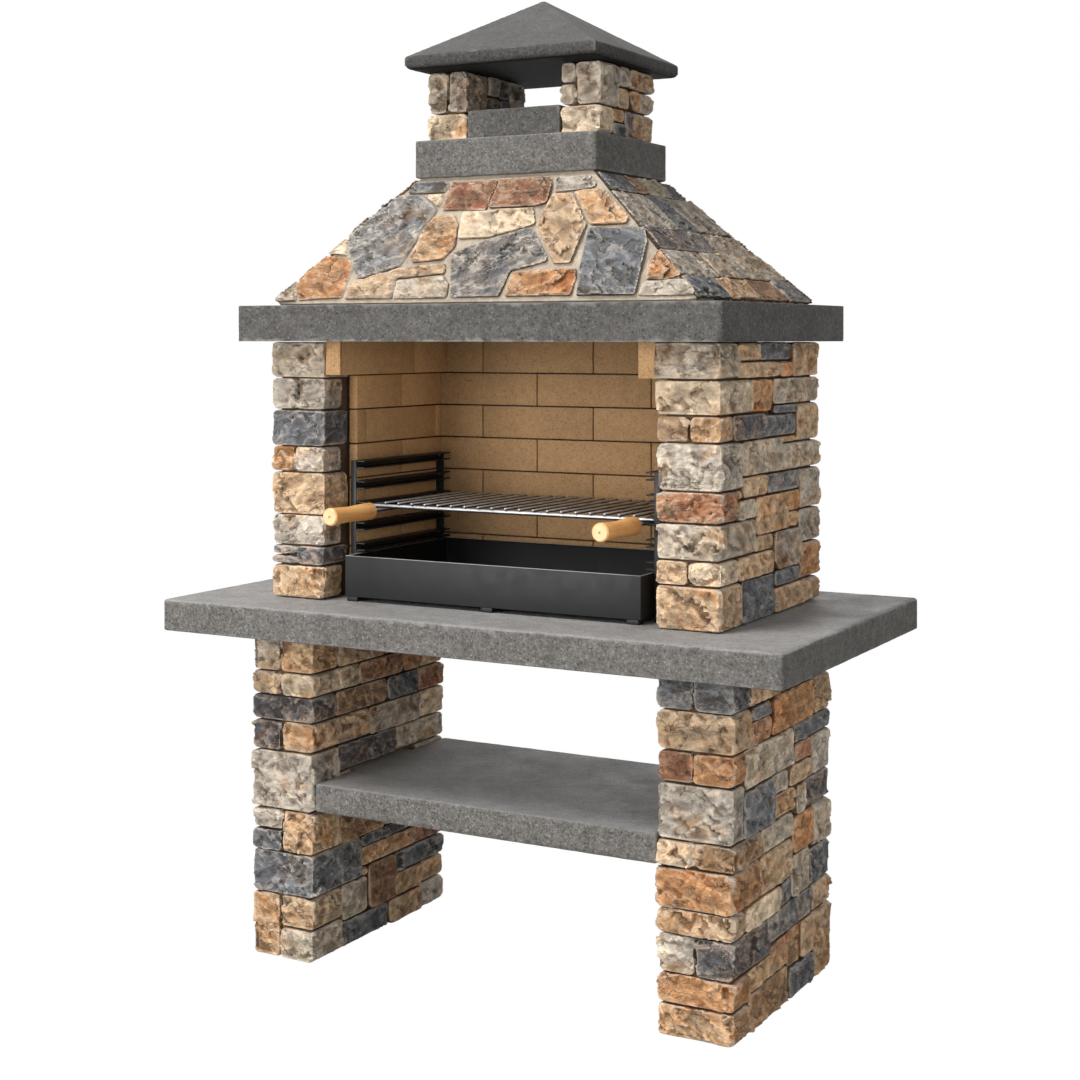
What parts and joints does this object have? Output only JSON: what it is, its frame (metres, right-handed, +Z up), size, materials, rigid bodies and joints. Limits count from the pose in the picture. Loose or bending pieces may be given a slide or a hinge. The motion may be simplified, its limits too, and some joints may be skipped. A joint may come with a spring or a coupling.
{
  "type": "masonry barbecue",
  "caption": "Free-standing masonry barbecue with stone-clad pillars, concrete worktop and shelf, firebrick hearth, chimney hood, sliding grill and charcoal tray.",
  "frame": {"origin": "on the floor, under the middle of the worktop", "axes": "+Z up, front and handles towards -Y, +X to the right as seen from the front"},
  "size_m": [1.5, 0.85, 2.184],
  "materials": {
    "concrete": "cast concrete, dark grey, matt",
    "mortar": "rough mortar",
    "stone": "split natural stone, tan to blue-grey",
    "flagstone": "split flagstone, rust to blue-grey",
    "firebrick": "smooth tan firebrick",
    "black_steel": "matt black paint",
    "bright_steel": "bright plated steel",
    "beech": "clear varnished turned wood"
  },
  "bodies": {
    "masonry": {"worktop": "concrete", "shelf": "concrete", "lower_left_core": "mortar", "lower_right_core": "mortar", "lower_left_front_blocks": "stone", "lower_left_back_blocks": "stone", "lower_left_outer_facing": "stone", "lower_left_inner_facing": "stone", "lower_right_front_blocks": "stone", "lower_right_back_blocks": "stone", "lower_right_outer_facing": "stone", "lower_right_inner_facing": "stone", "upper_left_core": "mortar", "upper_right_core": "mortar", "upper_left_front_blocks": "stone", "upper_left_back_blocks": "stone", "upper_left_facing": "stone", "upper_right_front_blocks": "stone", "upper_right_back_blocks": "stone", "upper_right_facing": "stone", "rear_wall": "concrete", "back_firebricks": "firebrick", "left_firebricks": "firebrick", "right_firebricks": "firebrick", "left_corbel_bricks": "firebrick", "right_corbel_bricks": "firebrick", "hood_slab": "concrete", "hood_shell": "mortar", "front_flagstones": "flagstone", "back_flagstones": "flagstone", "left_flagstones": "flagstone", "right_flagstones": "flagstone", "chimney_slab": "concrete", "left_pier_core": "mortar", "right_pier_core": "mortar", "left_pier_blocks": "stone", "right_pier_blocks": "stone", "left_pier_facing": "stone", "right_pier_facing": "stone", "front_sill": "concrete", "back_sill": "concrete", "chimney_cap": "concrete", "left_rail_posts": "black_steel", "right_rail_posts": "black_steel", "left_rails": "black_steel", "right_rails": "black_steel", "rail_bolts": "bright_steel"},
    "grill": {"grill_frame": "bright_steel", "grill_bars": "bright_steel", "left_handle_rod": "bright_steel", "right_handle_rod": "bright_steel", "left_handle": "beech", "right_handle": "beech"},
    "tray": {"charcoal_tray": "black_steel", "tray_feet": "black_steel"}
  },
  "joints": [
    {"name": "grill_slide", "type": "slide", "parent": "masonry", "child": "grill", "axis": [0, -1, 0], "range_m": [0, 0.25]},
    {"name": "tray_slide", "type": "slide", "parent": "masonry", "child": "tray", "axis": [0, -1, 0], "range_m": [0, 0.3]}
  ]
}
